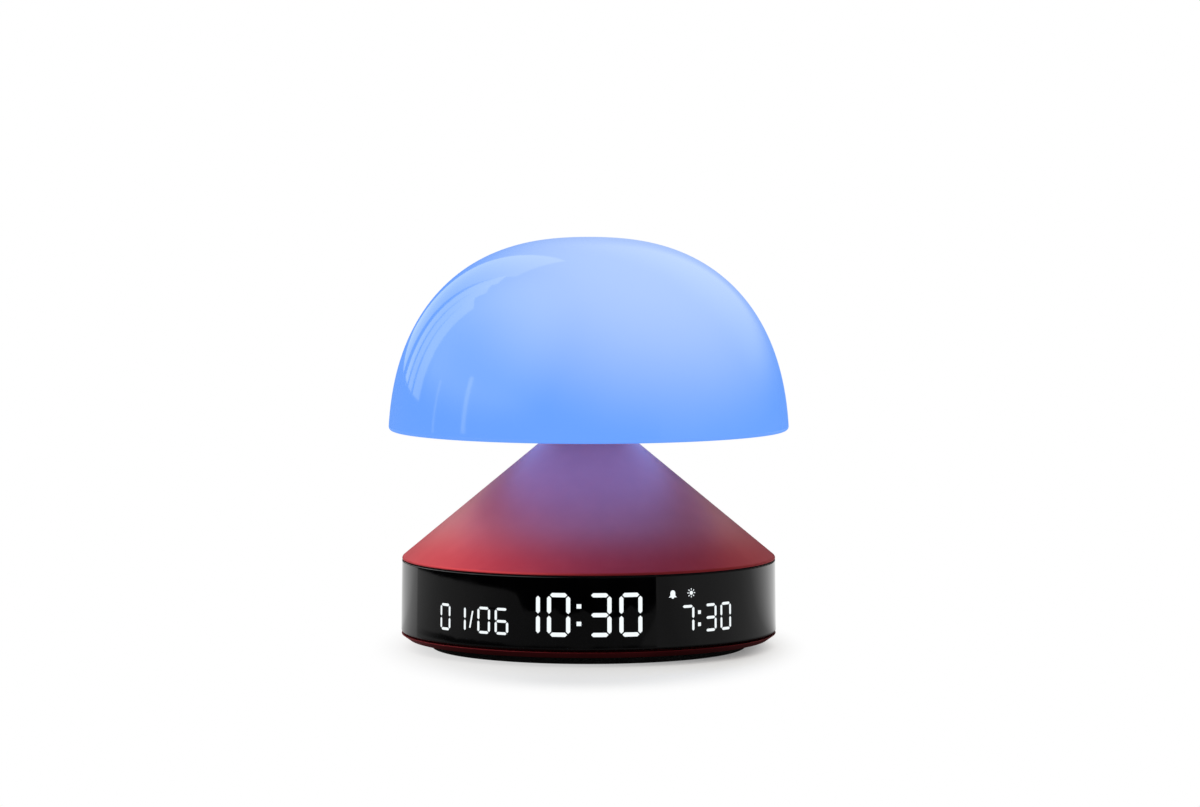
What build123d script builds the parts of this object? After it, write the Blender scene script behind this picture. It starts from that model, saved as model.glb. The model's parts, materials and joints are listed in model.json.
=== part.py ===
from build123d import *
import os
from math import asin, cos, degrees, pi, radians, sin, sqrt, tan

os.makedirs("parts", exist_ok=True)

# Sunrise alarm clock: an opal shade on a red aluminium cone, with a black display band below.
# Millimetres. +Z is up, the origin is on the surface the clock stands on, the display faces -Y.

# ---------------------------------------------------------------- fits
slide_gap = 0.08  # radial play of a piece that slides in another
fit_gap = 0.05  # play round a piece that is fixed in its seat
loose_gap = 0.4  # play round what only passes through
inlay_gap = 0.03  # play round a lit bar in the band

# ---------------------------------------------------------------- foot, base ring, base cover
foot_height = 1.9
foot_width = 11.2
foot_setback = 1.2  # inside the bevel's inner end
foot_round = 0.4
foot_groove_depth = 0.4
foot_groove_width = 1.6
trim_height = 2.7  # base ring, from the foot up to the band
trim_setback = 0.1  # inside the band's foot
trim_bevel_run = 7.4  # how far in the bevel reaches
trim_land = 0.25  # upright edge above the bevel
trim_flange = 1.2
cover_setback = 0.8  # inside the foot's outer edge
cover_ledge = 2.4  # of the cover under the base ring
cover_land_width = 4.4
grille_hole_r = 0.9
grille_pitch = 4.2
grille_rings = 3

# ---------------------------------------------------------------- display band
band_height = 20.7
band_foot_r = 53.9
band_taper = 0.25  # how much less the radius is at the top
band_wall = 2.05
band_round = 0.35
band_foot_round = 0.8
seal_thickness = 0.3
seal_setback = 0.65  # inside the band's top edge
seal_width = 3.4

# ---------------------------------------------------------------- cone and neck
cone_setback = 0.05  # inside the band's top edge
cone_land = 0.5
cone_slope = 39.6  # degrees from level
cone_neck_r = 9.6
cone_wall = 1.2
cone_lip = 2.0
cone_edge_round = 0.9
cone_neck_round = 0.6
stem_r = 7.2
stem_wall = 1.6
stem_flange_width = 8.8
stem_foot_height = 2.0
collar_setback = 0.4  # inside the cone's neck
collar_height = 2.1
collar_notches = 6
collar_notch = 1.4

# ---------------------------------------------------------------- shade
shade_belly_drop = 8.37  # from the rim down to where the curve would be widest
shade_half_width = 57.66
shade_rise = 63.6  # from the widest level to the top
shade_fullness = 2.415  # exponent of the curve: 2 is an ellipse, more is squarer
shade_wall = 2.2
shade_rim_round = 1.1
shade_rim_inner_round = 0.4
shade_point_count = 13
diffuser_setback = 2.26  # inside the shade's half width
diffuser_hole_gap = 0.6  # round the neck collar
diffuser_recess = 3.5  # above the rim
diffuser_thickness = 1.6

# ---------------------------------------------------------------- pressing head
head_travel = 1.2
travel_spare = 0.2  # left above the neck collar at the end of the travel
stop_gap = 0.05  # between the stem cap and the retainer it rests on
retainer_thickness = 2.4
hub_wall = 4.2
hub_web = 2.0
hub_flange_width = 10.0
stem_cap_ledge = 2.2
stem_cap_height = 2.0
stem_cap_spigot = 3.0
light_board_thickness = 1.4
light_board_screw_inset = 2.6
led_inset = 6.6
led_count = 12
led_side = 3.2
led_height = 1.0
led_lens_r = 1.2
led_lens_depth = 0.2
spring_wire_r = 0.25
spring_turns = 3
switch_board_setback = 0.6
switch_board_thickness = 1.0
switch_side = 5.0
switch_height = 3.0
switch_well_depth = 2.4
switch_well_r = 1.9
switch_plunger_proud = 1.0
plunger_gap = 0.1  # round a switch's plunger and below it at the end of its travel
press_pin_r = 1.5
press_pin_length = 1.95
harness_r = 0.9
harness_gap = 0.35
harness_land = 0.3  # of the stem cap's spigot, outside the harness hole
harness_switch_gap = 0.25  # between the harness hole and the head switch

# ---------------------------------------------------------------- inner frame
chassis_floor = 1.6
chassis_wall = 2.1
chassis_gap = 0.25  # between the frame and the band
deck_thickness = 1.9
deck_boss_depth = 1.2
deck_screw_inset = 5.35
deck_rear_screw_angles = (50, 130)
deck_boss_r = 3.0
deck_boss_turn = 6.0  # degrees from the display board's end to the boss beside it
base_screw_inset = 2.4
base_screw_angles = (10, 130, 250)
base_boss_r = 2.8
board_post_inset = 6.0
board_post_angles = (45, 135, 225, 315)
board_post_r = 2.6
chamber_gap = 0.75  # round the rim that holds the speaker
chamber_wall = 1.4
chamber_headroom = 0.7  # above the speaker's magnet
chamber_roof = 1.2
lead_notch_width = 3.2
lead_notch_height = 2.6
rear_post_width = 3.0
rear_post_depth = 3.8
rear_post_gap = 0.25  # inside the frame's outer face
display_end_turn = 2.0  # degrees between the ends of the light box, its board and the frame's opening

# ---------------------------------------------------------------- display
time_height = 12.15
time_width = 6.5
time_stroke = 1.12
time_gap = 0.44
time_rise = 10.1  # of the figures' centre, above the band's foot
time_arcs = (-16.84, -8.29, 3.2, 11.95)  # digit centres, as arc lengths from the front line
time_colon_arc = -2.6
time_colon_rise = 2.43
time_colon_width = 1.24
time_colon_height = 1.15
date_height = 7.45
date_width = 4.25
date_stroke = 0.68
date_gap = 0.3
date_rise = 7.75
date_arcs = (-45.34, -39.3, -30.89, -25.11)
date_slash_arc = -35.2
date_slash_lean = 0.5
date_slash_height = 4.7
date_slash_width = 0.5
alarm_height = 7.75
alarm_width = 4.3
alarm_stroke = 0.7
alarm_gap = 0.3
alarm_rise = 8.2
alarm_arcs = (29.17, 37.11, 42.97)
alarm_colon_arc = 33.07
alarm_colon_rise = 1.7
alarm_colon_side = 0.98
bell_arc = 24.39
bell_rise = 15.3
bell_height = 2.35
sun_arc = 30.34
sun_rise = 15.47
sun_r = 1.27
sun_disc_r = 0.54
sun_ray_width = 0.22
sun_rays = 8
cell_margin = 0.5  # light box opening round a digit
light_box_end_turn = 2.8  # degrees past the outermost opening
light_box_headroom = 0.2  # below the deck
display_board_thickness = 1.0
light_box_depth = 5.05
chip_led_length = 1.6
chip_led_width = 0.8
chip_led_height = 0.6
chip_led_lift = 0.02  # of the packages' middle, over the curved board

# ---------------------------------------------------------------- rear keys and power inlet
key_r = 3.8
key_proud = 0.55
key_travel = 0.6
key_collar_r = 4.7
key_collar = 0.9
key_tail_r = 1.5
key_drop = 6.1  # below the deck
key_pitch = 11.0
key_mark_depth = 0.2
key_mark_width = 0.5
key_round = 0.3
rear_board_setback = 8.6  # inside the band's wall
rear_board_thickness = 1.2
rear_board_headroom = 0.8
tact_side = 5.0
tact_height = 2.0
tact_well_r = 1.2
tact_well_depth = 1.3
tact_plunger_proud = 1.0
inlet_rise = 4.3
inlet_width = 8.94
inlet_height = 3.26
inlet_wall = 0.3
inlet_recess = 0.5
inlet_tongue_width = 6.69
inlet_tongue_height = 0.7
inlet_block = 2.5

# ---------------------------------------------------------------- main board, battery, speaker
board_setback = 5.45  # inside the display board
board_thickness = 1.5
board_drop = 2.4  # below the deck
chip_side = 7.0
chip_height = 1.0
chip_place = (24, -8)
crystal_r = 0.9
crystal_length = 6.0
crystal_place = (-24, -10)
capacitor_length = 3.5
capacitor_width = 2.8
capacitor_places = ((-26, 6), (-26, 12), (-20, 9), (20, 10), (26, 6), (12, -26))
header_height = 1.8
header_depth = 5.0
rear_header_width = 12.0
display_header_width = 8.0
lamp_header_width = 5.0
lamp_header_gap = 0.2  # below the deck's upper face
battery_length = 40.0
battery_width = 30.0
battery_gap = 0.7  # below the main board
battery_round = 1.5
battery_round_share = 0.45  # the most that the rounding may be, of the thickness
battery_wire_r = 0.7
battery_lead_x = 6.0
battery_lead_reach = 7.0
speaker_r = 18.0
speaker_flange_width = 2.6
speaker_flange = 0.8
speaker_depth = 6.0
speaker_rim_wall = 1.2
speaker_magnet_r = 9.5
speaker_magnet_height = 1.9
speaker_cone_gap = 2.0  # below the basket's roof
speaker_surround = 1.8
speaker_dust_cap_r = 4.0
speaker_dust_cap_rise = 0.6
speaker_sheet = 0.5
gasket_thickness = 0.6
speaker_wire_r = 0.8
speaker_lead_reach = 7.0
lead_bend_share = 0.45  # of the run it turns into

# ---------------------------------------------------------------- screws
screw_r = 1.0
screw_head_r = 1.9
screw_head_height = 1.2
screw_slot = 0.5
screw_slot_length = 2.3
screw_bite = 5.0  # how far a screw goes into its boss
pilot_spare = 0.3  # of a screw's hole, beyond its end

# ---------------------------------------------------------------- radii, worked out from the sizes above
band_top_r = band_foot_r - band_taper
band_inner_r = band_top_r - band_wall
face_r = (band_foot_r + band_top_r) / 2
past_band = band_foot_r + 2
trim_high_r = band_foot_r - trim_setback
trim_low_r = trim_high_r - trim_bevel_run
foot_outer_r = trim_low_r - foot_setback
foot_inner_r = foot_outer_r - foot_width
cover_r = foot_outer_r - cover_setback
trim_bore_r = cover_r - cover_ledge
base_screw_circle = trim_bore_r - base_screw_inset
seal_outer_r = band_top_r - seal_setback
seal_inner_r = seal_outer_r - seal_width
cone_foot_r = band_top_r - cone_setback
stem_bore_r = stem_r - stem_wall
stem_foot_r = stem_r + stem_flange_width
stem_screw_circle = (stem_r + stem_foot_r) / 2
stem_cap_r = stem_r + stem_cap_ledge
collar_r = cone_neck_r - collar_setback
diffuser_r = shade_half_width - diffuser_setback
diffuser_hole_r = collar_r + diffuser_hole_gap
hub_r = diffuser_hole_r + hub_wall
hub_screw_circle = (diffuser_hole_r + hub_r) / 2
hub_flange_r = hub_r + hub_flange_width
light_board_screw_circle = hub_flange_r - light_board_screw_inset
led_circle = hub_flange_r - led_inset
switch_board_r = stem_cap_r - switch_board_setback
harness_offset = stem_bore_r - fit_gap - harness_land - harness_gap - harness_r
switch_y = harness_offset - harness_r - harness_gap - harness_switch_gap - switch_side / 2
chassis_r = band_inner_r - chassis_gap
chassis_inner_r = chassis_r - chassis_wall
deck_screw_circle = chassis_r - deck_screw_inset
light_box_outer_r = band_inner_r - fit_gap
light_box_inner_r = light_box_outer_r - light_box_depth
display_board_outer_r = light_box_inner_r - fit_gap
display_board_inner_r = display_board_outer_r - display_board_thickness
board_r = display_board_inner_r - board_setback
board_post_circle = board_r - board_post_inset
speaker_opening_r = speaker_r - speaker_flange_width
speaker_rim_r = speaker_r + fit_gap
chamber_r = speaker_rim_r + speaker_rim_wall + chamber_gap
rear_board_y = band_inner_r - rear_board_setback
rear_post_y = rear_board_y - rear_board_thickness / 2
rear_post_far_y = rear_post_y + rear_post_depth / 2
rear_post_reach = sqrt((chassis_r - rear_post_gap) ** 2 - rear_post_far_y**2)
rear_board_half_width = rear_post_reach - rear_post_width / 2
rear_gap = rear_board_half_width + rear_post_width  # half width of the frame's opening behind the keys
key_collar_inner_r = band_inner_r - fit_gap - key_collar
tact_top_y = rear_board_y + tact_height + tact_plunger_proud

# ---------------------------------------------------------------- angles each side of the front line
outermost_arc = date_width / 2 + cell_margin / 2 - min(date_arcs)
light_box_half_angle = degrees(outermost_arc / face_r) + light_box_end_turn
display_board_half_angle = light_box_half_angle + display_end_turn
front_gap = display_board_half_angle + display_end_turn
deck_front_screw_turn = display_board_half_angle + deck_boss_turn
deck_screw_angles = (-90 + deck_front_screw_turn, *deck_rear_screw_angles, -90 - deck_front_screw_turn)

# ---------------------------------------------------------------- levels, worked out from the sizes above
cover_z = foot_height
band_z = foot_height + trim_height
cover_top_z = band_z - trim_flange
floor_z = band_z + chassis_floor
band_top_z = band_z + band_height
deck_z = band_top_z - deck_thickness
light_box_top_z = deck_z - light_box_headroom
time_centre_z = band_z + time_rise
date_centre_z = band_z + date_rise
alarm_centre_z = band_z + alarm_rise
bell_centre_z = band_z + bell_rise
sun_centre_z = band_z + sun_rise
key_z = deck_z - key_drop
inlet_z = band_z + inlet_rise
cone_z = band_top_z + seal_thickness
cone_edge_z = cone_z + cone_land
cone_top_z = cone_edge_z + (cone_foot_r - cone_neck_r) * tan(radians(cone_slope))
collar_top_z = cone_top_z + collar_height
diffuser_z = collar_top_z + head_travel + travel_spare
shade_rim_z = diffuser_z - diffuser_recess
shade_belly_z = shade_rim_z - shade_belly_drop
retainer_z = diffuser_z + diffuser_thickness
hub_z = retainer_z + retainer_thickness
stem_cap_z = hub_z + stop_gap
switch_board_z = stem_cap_z + stem_cap_height
switch_z = switch_board_z + switch_board_thickness
plunger_top_z = switch_z + switch_height + switch_plunger_proud
web_z = plunger_top_z + press_pin_length
light_board_z = web_z + hub_web
board_top_z = deck_z - board_drop
board_z = board_top_z - board_thickness
speaker_z = cover_top_z + gasket_thickness
chamber_top_z = speaker_z + speaker_depth + speaker_magnet_height + chamber_headroom + chamber_roof
battery_z = chamber_top_z
battery_thickness = board_z - battery_gap - battery_z
base_boss_top_z = band_z + screw_bite + 2 * pilot_spare
harness_low_z = deck_z - lamp_header_gap

key_names = ("plus_key", "minus_key", "alarm_key", "clock_key")
key_places = [(i - (len(key_names) - 1) / 2) * key_pitch for i in range(len(key_names))]
low, mid = Align.MIN, Align.CENTER


# ---------------------------------------------------------------- helpers
def turned(points, radii=None, arc=360, start=0):
    # A body of revolution from a closed outline of (radius, height) corners.
    corners = [(r, 0, z) for r, z in points]
    if radii:
        line = FilletPolyline(*corners, radius=radii, close=True)
    else:
        line = Polyline(*corners, close=True)
    return Rot(0, 0, start) * revolve(make_face(line), Axis.Z, arc)


def tube(outer, inner, z0, z1, arc=360, start=0):
    return turned([(inner, z0), (outer, z0), (outer, z1), (inner, z1)], arc=arc, start=start)


def disc(radius, z0, z1, x=0, y=0):
    return Pos(x, y, z0) * Cylinder(radius, z1 - z0, align=(mid, mid, low))


def block(x_size, y_size, z0, z1, x=0, y=0):
    return Pos(x, y, z0) * Box(x_size, y_size, z1 - z0, align=(mid, mid, low))


def rod_y(radius, x, z, y0, y1):
    # A round bar along +Y.
    return Pos(x, y0, z) * Rot(-90, 0, 0) * Cylinder(radius, y1 - y0, align=(mid, mid, low))


def on_circle(radius, angles):
    return [(radius * cos(radians(a)), radius * sin(radians(a))) for a in angles]


def spread(count, start=0):
    return [start + 360 * i / count for i in range(count)]


def group(shapes):
    return Compound([solid for shape in shapes for solid in shape.solids()])


def screw(length, x, y, z, up=False):
    # A pan-head screw with its head's seat at z. It points down, or up when it comes from below.
    head = Cylinder(screw_head_r, screw_head_height, align=(mid, mid, low))
    head = fillet(head.edges().sort_by(Axis.Z)[-1], screw_head_height / 3)
    for turn in (0, 90):
        slot = Rot(0, 0, turn) * Box(screw_slot_length, screw_slot, screw_slot, align=(mid, mid, Align.MAX))
        head -= Pos(0, 0, screw_head_height) * slot
    shank = Cylinder(screw_r, length, align=(mid, mid, Align.MAX))
    return Pos(x, y, z) * Rot(180 if up else 0, 0, 0) * (head + shank)


def save(name, shape):
    export_step(shape, f"parts/{name}.step")


# ---------------------------------------------------------------- shade
def shade_point(t, inset=0):
    power = 2 / shade_fullness
    r = (shade_half_width - inset) * cos(t) ** power
    z = shade_belly_z + (shade_rise - inset) * sin(t) ** power
    return r, z


def shade_spline(from_z, inset):
    first = asin(((from_z - shade_belly_z) / (shade_rise - inset)) ** (shade_fullness / 2))
    steps = shade_point_count - 1
    ts = [first + (pi / 2 - first) * i / steps for i in range(steps)]
    points = [shade_point(t, inset) for t in ts] + [(0, shade_belly_z + shade_rise - inset)]
    next_r, next_z = shade_point(first + 0.001, inset)
    tangent = Vector(next_r - points[0][0], 0, next_z - points[0][1]).normalized()
    return Spline([(r, 0, z) for r, z in points], tangents=[tangent, (-1, 0, 0)])


def shade_dome():
    outer = shade_spline(shade_rim_z, 0)
    inner = shade_spline(retainer_z, shade_wall)
    seat_r = diffuser_r + fit_gap
    rim = Polyline(
        inner @ 0,
        (seat_r, 0, retainer_z),
        (seat_r, 0, shade_rim_z),
        outer @ 0,
    )
    crown = Line(outer @ 1, inner @ 1)
    dome = revolve(make_face([outer, crown, inner, rim]), Axis.Z, 360)
    rim_edges = dome.edges().filter_by(GeomType.CIRCLE).group_by(Axis.Z)[0].sort_by(SortBy.RADIUS)
    dome = fillet(rim_edges[-1], shade_rim_round)
    rim_edges = dome.edges().filter_by(GeomType.CIRCLE).group_by(Axis.Z)[0].sort_by(SortBy.RADIUS)
    return fillet(rim_edges[0], shade_rim_inner_round)


def shade_diffuser():
    plate = tube(diffuser_r, diffuser_hole_r, diffuser_z, retainer_z)
    for x, y in on_circle(hub_screw_circle, spread(3, 90)):
        plate -= disc(screw_r + fit_gap, diffuser_z, retainer_z, x, y)
    return plate


# ---------------------------------------------------------------- pressing head
def head_retainer():
    ring = tube(hub_r, stem_r + slide_gap, retainer_z, hub_z)
    for x, y in on_circle(hub_screw_circle, spread(3, 90)):
        ring -= disc(screw_r + fit_gap, retainer_z, hub_z, x, y)
    return ring


def head_screws():
    length = diffuser_thickness + retainer_thickness + screw_bite
    places = on_circle(hub_screw_circle, spread(3, 90))
    return group([screw(length, x, y, diffuser_z, up=True) for x, y in places])


def head_hub():
    hub = tube(hub_r, stem_cap_r + slide_gap, hub_z, web_z)
    hub += disc(hub_flange_r, web_z, light_board_z)
    hub += disc(press_pin_r, plunger_top_z, web_z, 0, switch_y)
    hub -= disc(harness_r + harness_gap, web_z, light_board_z, 0, harness_offset)
    for x, y in on_circle(hub_screw_circle, spread(3, 90)):
        hub -= disc(screw_r + fit_gap, hub_z, hub_z + screw_bite + pilot_spare, x, y)
    for x, y in on_circle(light_board_screw_circle, spread(3, 30)):
        hub -= disc(screw_r + fit_gap, web_z, light_board_z, x, y)
    return hub


def light_board():
    board = disc(hub_flange_r, light_board_z, light_board_z + light_board_thickness)
    for x, y in on_circle(light_board_screw_circle, spread(3, 30)):
        board -= disc(screw_r + fit_gap, light_board_z, light_board_z + light_board_thickness, x, y)
    return board


def light_board_screws():
    top = light_board_z + light_board_thickness
    length = light_board_thickness + hub_web - pilot_spare
    return group([screw(length, x, y, top) for x, y in on_circle(light_board_screw_circle, spread(3, 30))])


def light_leds():
    base = light_board_z + light_board_thickness
    leds = []
    for angle in spread(led_count, 15):
        package = block(led_side, led_side, base, base + led_height, led_circle)
        lens = disc(led_lens_r, base + led_height - led_lens_depth, base + led_height, led_circle)
        leds.append(Rot(0, 0, angle) * (package - lens))
    return group(leds)


def return_spring():
    height = retainer_z - collar_top_z - 2 * spring_wire_r
    radius = (stem_r + collar_r) / 2
    coil = Helix(height / spring_turns, height, radius, center=(0, 0, collar_top_z + spring_wire_r))
    section = Plane(origin=coil @ 0, z_dir=coil % 0) * Circle(spring_wire_r)
    return sweep(section, path=coil, is_frenet=True)


def switch_board():
    board = disc(switch_board_r, switch_board_z, switch_z)
    return board - disc(harness_r + harness_gap, switch_board_z, switch_z, 0, harness_offset)


def head_switch():
    top = switch_z + switch_height
    housing = block(switch_side, switch_side, switch_z, top, 0, switch_y)
    return housing - disc(switch_well_r, top - switch_well_depth, top, 0, switch_y)


def head_switch_plunger():
    bottom = switch_z + switch_height - switch_well_depth + head_travel + plunger_gap
    return disc(switch_well_r - plunger_gap, bottom, plunger_top_z, 0, switch_y)


# ---------------------------------------------------------------- stem, collar, cone
def stem():
    post = tube(stem_r, stem_bore_r, band_top_z, stem_cap_z)
    post += tube(stem_foot_r, stem_bore_r, band_top_z, band_top_z + stem_foot_height)
    for x, y in on_circle(stem_screw_circle, spread(3)):
        post -= disc(screw_r + fit_gap, band_top_z, band_top_z + stem_foot_height, x, y)
    return post


def stem_cap():
    cap = disc(stem_cap_r, stem_cap_z, switch_board_z)
    cap += disc(stem_bore_r - fit_gap, stem_cap_z - stem_cap_spigot, stem_cap_z)
    hole = disc(harness_r + harness_gap, stem_cap_z - stem_cap_spigot, switch_board_z, 0, harness_offset)
    return cap - hole


def stem_screws():
    seat = band_top_z + stem_foot_height
    length = stem_foot_height + deck_thickness + deck_boss_depth - pilot_spare
    return group([screw(length, x, y, seat) for x, y in on_circle(stem_screw_circle, spread(3))])


def neck_collar():
    ring = tube(collar_r, stem_r + fit_gap, cone_top_z, collar_top_z)
    for x, y in on_circle(collar_r, spread(collar_notches)):
        ring -= disc(collar_notch / 2, cone_top_z, collar_top_z, x, y)
    return ring


def cone_shell():
    bore = stem_r + fit_gap
    drop = cone_wall / cos(radians(cone_slope))  # the wall, measured upright
    rate = tan(radians(cone_slope))
    roof_z = cone_top_z - cone_wall
    roof_r = cone_foot_r - (roof_z + drop - cone_edge_z) / rate
    lip_r = cone_foot_r - cone_lip
    lip_z = cone_edge_z + cone_lip * rate - drop
    outline = [
        (lip_r, cone_z),
        (cone_foot_r, cone_z),
        (cone_foot_r, cone_edge_z),
        (cone_neck_r, cone_top_z),
        (bore, cone_top_z),
        (bore, roof_z),
        (roof_r, roof_z),
        (lip_r, lip_z),
    ]
    return turned(outline, [0, 0.15, cone_edge_round, cone_neck_round, 0, 0, 0, 0])


def seal_ring():
    return tube(seal_outer_r, seal_inner_r, band_top_z, cone_z)


# ---------------------------------------------------------------- inner frame
def deck_plate():
    deck = tube(chassis_r, stem_bore_r, deck_z, band_top_z)
    deck += tube(stem_foot_r, stem_bore_r + 1.0, deck_z - deck_boss_depth, deck_z)
    for x, y in on_circle(deck_screw_circle, deck_screw_angles):
        deck -= disc(screw_r + fit_gap, deck_z, band_top_z, x, y)
    for x, y in on_circle(stem_screw_circle, spread(3)):
        deck -= disc(screw_r + fit_gap, deck_z - deck_boss_depth, band_top_z, x, y)
    return deck


def deck_screws():
    places = on_circle(deck_screw_circle, deck_screw_angles)
    return group([screw(deck_thickness + screw_bite, x, y, band_top_z) for x, y in places])


def rear_board_posts():
    # Two grooved pillars that hold the ends of the upright rear board.
    posts = []
    top = board_z - loose_gap
    for side in (-1, 1):
        x = side * rear_board_half_width
        posts.append(block(rear_post_width, rear_post_depth, floor_z, top, x, rear_post_y))
    slot = block(
        2 * (rear_board_half_width + fit_gap),
        rear_board_thickness + 2 * fit_gap,
        floor_z,
        top,
        0,
        rear_post_y,
    )
    return [post - slot for post in posts]


def chassis():
    frame = tube(chassis_r, chassis_inner_r, floor_z, deck_z)
    frame -= tube(chassis_r + 1, chassis_inner_r - 1, floor_z, deck_z, arc=2 * front_gap, start=-90 - front_gap)
    frame -= block(2 * rear_gap, chassis_r, floor_z, deck_z, 0, chassis_r)
    frame += tube(chassis_r, chamber_r, band_z, floor_z)
    frame += tube(chamber_r + chamber_wall, chamber_r, floor_z, chamber_top_z)
    frame += disc(chamber_r + chamber_wall, chamber_top_z - chamber_roof, chamber_top_z)
    for x, y in on_circle(board_post_circle, board_post_angles):
        frame += disc(board_post_r, floor_z, board_z, x, y)
        frame -= disc(screw_r + fit_gap, board_z - screw_bite - pilot_spare, board_z, x, y)
    for x, y in on_circle(deck_screw_circle, deck_screw_angles):
        frame += disc(deck_boss_r, floor_z, deck_z, x, y)
        frame -= disc(screw_r + fit_gap, deck_z - screw_bite - pilot_spare, deck_z, x, y)
    for x, y in on_circle(base_screw_circle, base_screw_angles):
        frame += disc(base_boss_r, floor_z, base_boss_top_z, x, y)
        frame -= disc(screw_r + fit_gap, band_z, band_z + screw_bite + pilot_spare, x, y)
    for post in rear_board_posts():
        frame += post
    notch_x = -(chamber_r + chamber_wall / 2)
    frame -= block(3 * chamber_wall, lead_notch_width, floor_z, floor_z + lead_notch_height, notch_x)
    return frame


# ---------------------------------------------------------------- display band and its figures
def face_plane(arc, z):
    # The plane that touches the band at an arc length from the front line, seen from outside.
    turn = arc / face_r
    outward = (sin(turn), -cos(turn), 0)
    return Plane(origin=(face_r * sin(turn), -face_r * cos(turn), z), x_dir=(cos(turn), sin(turn), 0), z_dir=outward)


def band_blank():
    outline = [
        (band_inner_r, band_z),
        (band_foot_r, band_z),
        (band_top_r, band_top_z),
        (band_inner_r, band_top_z),
    ]
    return turned(outline, [0, band_foot_round, band_round, 0])


def bar(start, end, stroke, gap):
    # One six-sided bar of a digit, with pointed ends that stop short of its nodes.
    along = Vector(*end) - Vector(*start)
    length = along.length - gap * sqrt(2)
    half = stroke / 2
    tip = length / 2
    corners = [(-tip, 0), (half - tip, half), (tip - half, half), (tip, 0), (tip - half, -half), (half - tip, -half)]
    middle = (Vector(*start) + Vector(*end)) * 0.5
    turn = 90 if abs(along.Y) > abs(along.X) else 0
    return Pos(middle.X, middle.Y) * Rot(0, 0, turn) * Polygon(*corners, align=None)


lit_bars = {
    "0": "abcdef",
    "1": "bc",
    "3": "abcdg",
    "6": "acdefg",
    "7": "abc",
}


def digit(character, width, height, stroke, gap):
    x = (width - stroke) / 2
    y = (height - stroke) / 2
    nodes = {
        "a": ((-x, y), (x, y)),
        "b": ((x, 0), (x, y)),
        "c": ((x, -y), (x, 0)),
        "d": ((-x, -y), (x, -y)),
        "e": ((-x, -y), (-x, 0)),
        "f": ((-x, 0), (-x, y)),
        "g": ((-x, 0), (x, 0)),
    }
    return [bar(*nodes[name], stroke, gap) for name in lit_bars[character]]


def time_outlines():
    outlines = []
    for character, arc in zip("1030", time_arcs):
        plane = face_plane(arc, time_centre_z)
        for shape in digit(character, time_width, time_height, time_stroke, time_gap):
            outlines.append((plane, shape))
    for side in (-1, 1):
        plane = face_plane(time_colon_arc, time_centre_z + side * time_colon_rise)
        outlines.append((plane, Rectangle(time_colon_width, time_colon_height)))
    return outlines


def date_outlines():
    outlines = []
    for character, arc in zip("0106", date_arcs):
        plane = face_plane(arc, date_centre_z)
        for shape in digit(character, date_width, date_height, date_stroke, date_gap):
            outlines.append((plane, shape))
    half_h = date_slash_height / 2
    half_w = date_slash_width / 2
    slash = Polygon(
        (-date_slash_lean - half_w, -half_h),
        (-date_slash_lean + half_w, -half_h),
        (date_slash_lean + half_w, half_h),
        (date_slash_lean - half_w, half_h),
        align=None,
    )
    outlines.append((face_plane(date_slash_arc, date_centre_z), slash))
    return outlines


def alarm_outlines():
    outlines = []
    for character, arc in zip("730", alarm_arcs):
        plane = face_plane(arc, alarm_centre_z)
        for shape in digit(character, alarm_width, alarm_height, alarm_stroke, alarm_gap):
            outlines.append((plane, shape))
    for side in (-1, 1):
        plane = face_plane(alarm_colon_arc, alarm_centre_z + side * alarm_colon_rise)
        outlines.append((plane, Rectangle(alarm_colon_side, alarm_colon_side)))
    return outlines


def bell_outline(height):
    # A bell with a flared mouth and its clapper below, centred on its own height.
    unit = height / 2.65
    mouth_y = -0.9 * unit
    mouth = 1.38 * unit
    waist = 0.84 * unit
    shoulder_y = 0.45 * unit
    top_y = height / 2
    right = [
        Line((0, mouth_y), (mouth, mouth_y)),
        Line((mouth, mouth_y), (waist, mouth_y + 0.55 * unit)),
        Line((waist, mouth_y + 0.55 * unit), (waist, shoulder_y)),
        ThreePointArc((waist, shoulder_y), (waist * 0.68, shoulder_y + 0.6 * unit), (0, top_y)),
    ]
    left = [mirror(line, Plane.YZ) for line in right]
    clapper = Pos(0, mouth_y) * Circle(0.43 * unit)
    return make_face(right + left) + clapper


def icon_outlines():
    outlines = [(face_plane(bell_arc, bell_centre_z), bell_outline(bell_height))]
    plane = face_plane(sun_arc, sun_centre_z)
    outlines.append((plane, Circle(sun_disc_r)))
    ray_length = sun_r - sun_disc_r - 0.3
    for angle in spread(sun_rays):
        ray = Rot(0, 0, angle) * Pos(sun_r - ray_length / 2, 0) * Rectangle(ray_length, sun_ray_width)
        outlines.append((plane, ray))
    return outlines


def through_band(plane, outline, grow=0):
    if grow:
        outline = offset(outline, grow, kind=Kind.INTERSECTION)
    return extrude(plane * outline, amount=1.5 * band_wall, both=True)


def lit_group(outlines, blank):
    return group([through_band(plane, outline) & blank for plane, outline in outlines])


def display_band(blank, outlines):
    cuts = [through_band(plane, outline, inlay_gap) for plane, outline in outlines]
    for x in key_places:
        cuts.append(rod_y(key_r + slide_gap, x, key_z, rear_board_y, past_band))
    depth = past_band - rear_board_y
    slot = RectangleRounded(inlet_width + 2 * loose_gap, inlet_height + 2 * loose_gap, inlet_height / 2)
    cuts.append(Pos(0, rear_board_y, inlet_z) * Rot(-90, 0, 0) * extrude(slot, depth))
    return blank - cuts


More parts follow.
